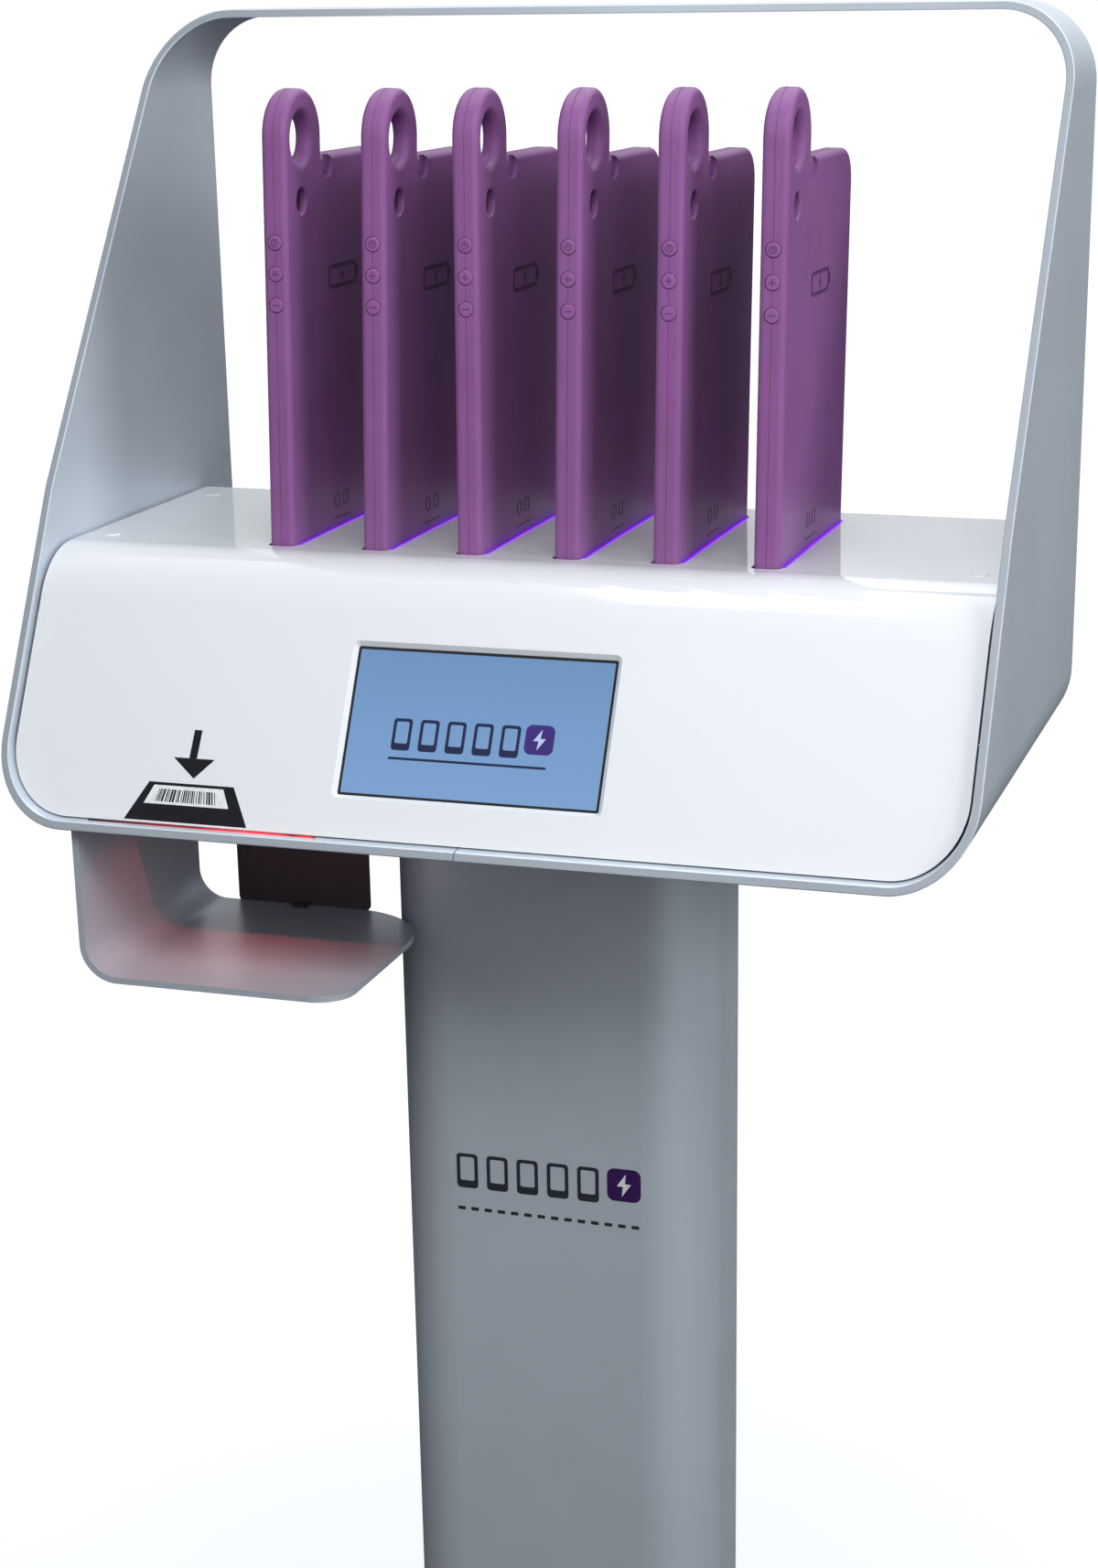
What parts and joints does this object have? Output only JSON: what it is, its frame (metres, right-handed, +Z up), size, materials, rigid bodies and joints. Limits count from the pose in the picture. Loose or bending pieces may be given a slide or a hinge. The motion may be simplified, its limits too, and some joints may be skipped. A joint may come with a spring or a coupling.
{
  "type": "tablet lending and charging kiosk",
  "caption": "Floor-standing self-service kiosk: a bent metal head holds and charges upright tablets in lit slots, with a sloping display and a barcode scanner tray, on a column.",
  "frame": {"origin": "on the floor, under the middle of the column (underside of the base plate)", "axes": "+X to the right seen from the front, +Y towards the back, +Z up"},
  "size_m": [0.59, 0.4227, 1.538],
  "materials": {
    "silver_paint": "satin silver-grey powder coat",
    "base_paint": "satin silver-grey powder coat",
    "white_gloss": "high gloss white",
    "rear_paint": "satin white powder coat",
    "dark_paint": "semi-gloss anthracite",
    "zinc_steel": "zinc plated",
    "chassis_steel": "galvanised sheet",
    "guide_plastic": "black moulded plastic",
    "light_guide": "frosted, lit violet",
    "circuit_board": "green solder mask",
    "supply_case": "perforated cage",
    "display_glass": "lit screen under glass",
    "display_body": "black panel",
    "scanner_glass": "red tinted",
    "case_rubber": "matt purple silicone",
    "button_rubber": "matt purple silicone",
    "tablet_body": "black glass front, dark shell"
  },
  "bodies": {
    "kiosk": {"base_plate": "base_paint", "base_flange": "zinc_steel", "base_bolts": "zinc_steel", "column_tube": "silver_paint", "cable_gland": "guide_plastic", "head_flange": "zinc_steel", "head_bolts": "zinc_steel", "frame_band": "silver_paint", "deck_cover": "white_gloss", "deck_screw_caps": "white_gloss", "deck_screws": "zinc_steel", "deck_rails": "zinc_steel", "dock_chassis": "chassis_steel", "dock_guides": "guide_plastic", "slot_light_guides": "light_guide", "dock_board": "circuit_board", "dock_contacts": "guide_plastic", "rear_cover": "rear_paint", "rear_screws": "zinc_steel", "display_glass": "display_glass", "display_module": "display_body", "display_pan": "chassis_steel", "main_board": "circuit_board", "power_supply": "supply_case", "usb_hub": "guide_plastic", "scanner_window": "scanner_glass", "scanner_module": "guide_plastic", "scanner_tray": "silver_paint", "tray_back_plate": "dark_paint", "tray_screws": "zinc_steel"},
    "tablet_unit_1": {"case_1": "case_rubber", "tablet_1": "tablet_body"},
    "power_button_1": {"power_button_1": "button_rubber"},
    "volume_up_button_1": {"volume_up_button_1": "button_rubber"},
    "volume_down_button_1": {"volume_down_button_1": "button_rubber"},
    "tablet_unit_2": {"case_2": "case_rubber", "tablet_2": "tablet_body"},
    "power_button_2": {"power_button_2": "button_rubber"},
    "volume_up_button_2": {"volume_up_button_2": "button_rubber"},
    "volume_down_button_2": {"volume_down_button_2": "button_rubber"},
    "tablet_unit_3": {"case_3": "case_rubber", "tablet_3": "tablet_body"},
    "power_button_3": {"power_button_3": "button_rubber"},
    "volume_up_button_3": {"volume_up_button_3": "button_rubber"},
    "volume_down_button_3": {"volume_down_button_3": "button_rubber"},
    "tablet_unit_4": {"case_4": "case_rubber", "tablet_4": "tablet_body"},
    "power_button_4": {"power_button_4": "button_rubber"},
    "volume_up_button_4": {"volume_up_button_4": "button_rubber"},
    "volume_down_button_4": {"volume_down_button_4": "button_rubber"},
    "tablet_unit_5": {"case_5": "case_rubber", "tablet_5": "tablet_body"},
    "power_button_5": {"power_button_5": "button_rubber"},
    "volume_up_button_5": {"volume_up_button_5": "button_rubber"},
    "volume_down_button_5": {"volume_down_button_5": "button_rubber"},
    "tablet_unit_6": {"case_6": "case_rubber", "tablet_6": "tablet_body"},
    "power_button_6": {"power_button_6": "button_rubber"},
    "volume_up_button_6": {"volume_up_button_6": "button_rubber"},
    "volume_down_button_6": {"volume_down_button_6": "button_rubber"}
  },
  "joints": [
    {"name": "tablet_lift_1", "type": "slide", "parent": "kiosk", "child": "tablet_unit_1", "axis": [0.0262, 0, 0.9997], "range_m": [0, 0.34]},
    {"name": "power_press_1", "type": "slide", "parent": "tablet_unit_1", "child": "power_button_1", "axis": [0, 1, 0], "range_m": [0, 0.0006], "stiffness_N_per_m": 1500},
    {"name": "volume_up_press_1", "type": "slide", "parent": "tablet_unit_1", "child": "volume_up_button_1", "axis": [0, 1, 0], "range_m": [0, 0.0006], "stiffness_N_per_m": 1500},
    {"name": "volume_down_press_1", "type": "slide", "parent": "tablet_unit_1", "child": "volume_down_button_1", "axis": [0, 1, 0], "range_m": [0, 0.0006], "stiffness_N_per_m": 1500},
    {"name": "tablet_lift_2", "type": "slide", "parent": "kiosk", "child": "tablet_unit_2", "axis": [0.0314, 0, 0.9995], "range_m": [0, 0.34]},
    {"name": "power_press_2", "type": "slide", "parent": "tablet_unit_2", "child": "power_button_2", "axis": [0, 1, 0], "range_m": [0, 0.0006], "stiffness_N_per_m": 1500},
    {"name": "volume_up_press_2", "type": "slide", "parent": "tablet_unit_2", "child": "volume_up_button_2", "axis": [0, 1, 0], "range_m": [0, 0.0006], "stiffness_N_per_m": 1500},
    {"name": "volume_down_press_2", "type": "slide", "parent": "tablet_unit_2", "child": "volume_down_button_2", "axis": [0, 1, 0], "range_m": [0, 0.0006], "stiffness_N_per_m": 1500},
    {"name": "tablet_lift_3", "type": "slide", "parent": "kiosk", "child": "tablet_unit_3", "axis": [0.0131, 0, 0.9999], "range_m": [0, 0.34]},
    {"name": "power_press_3", "type": "slide", "parent": "tablet_unit_3", "child": "power_button_3", "axis": [0, 1, 0], "range_m": [0, 0.0006], "stiffness_N_per_m": 1500},
    {"name": "volume_up_press_3", "type": "slide", "parent": "tablet_unit_3", "child": "volume_up_button_3", "axis": [0, 1, 0], "range_m": [0, 0.0006], "stiffness_N_per_m": 1500},
    {"name": "volume_down_press_3", "type": "slide", "parent": "tablet_unit_3", "child": "volume_down_button_3", "axis": [0, 1, 0], "range_m": [0, 0.0006], "stiffness_N_per_m": 1500},
    {"name": "tablet_lift_4", "type": "slide", "parent": "kiosk", "child": "tablet_unit_4", "axis": [0.0227, 0, 0.9997], "range_m": [0, 0.34]},
    {"name": "power_press_4", "type": "slide", "parent": "tablet_unit_4", "child": "power_button_4", "axis": [0, 1, 0], "range_m": [0, 0.0006], "stiffness_N_per_m": 1500},
    {"name": "volume_up_press_4", "type": "slide", "parent": "tablet_unit_4", "child": "volume_up_button_4", "axis": [0, 1, 0], "range_m": [0, 0.0006], "stiffness_N_per_m": 1500},
    {"name": "volume_down_press_4", "type": "slide", "parent": "tablet_unit_4", "child": "volume_down_button_4", "axis": [0, 1, 0], "range_m": [0, 0.0006], "stiffness_N_per_m": 1500},
    {"name": "tablet_lift_5", "type": "slide", "parent": "kiosk", "child": "tablet_unit_5", "axis": [0.0183, 0, 0.9998], "range_m": [0, 0.34]},
    {"name": "power_press_5", "type": "slide", "parent": "tablet_unit_5", "child": "power_button_5", "axis": [0, 1, 0], "range_m": [0, 0.0006], "stiffness_N_per_m": 1500},
    {"name": "volume_up_press_5", "type": "slide", "parent": "tablet_unit_5", "child": "volume_up_button_5", "axis": [0, 1, 0], "range_m": [0, 0.0006], "stiffness_N_per_m": 1500},
    {"name": "volume_down_press_5", "type": "slide", "parent": "tablet_unit_5", "child": "volume_down_button_5", "axis": [0, 1, 0], "range_m": [0, 0.0006], "stiffness_N_per_m": 1500},
    {"name": "tablet_lift_6", "type": "slide", "parent": "kiosk", "child": "tablet_unit_6", "axis": [0.0157, 0, 0.9999], "range_m": [0, 0.34]},
    {"name": "power_press_6", "type": "slide", "parent": "tablet_unit_6", "child": "power_button_6", "axis": [0, 1, 0], "range_m": [0, 0.0006], "stiffness_N_per_m": 1500},
    {"name": "volume_up_press_6", "type": "slide", "parent": "tablet_unit_6", "child": "volume_up_button_6", "axis": [0, 1, 0], "range_m": [0, 0.0006], "stiffness_N_per_m": 1500},
    {"name": "volume_down_press_6", "type": "slide", "parent": "tablet_unit_6", "child": "volume_down_button_6", "axis": [0, 1, 0], "range_m": [0, 0.0006], "stiffness_N_per_m": 1500}
  ]
}
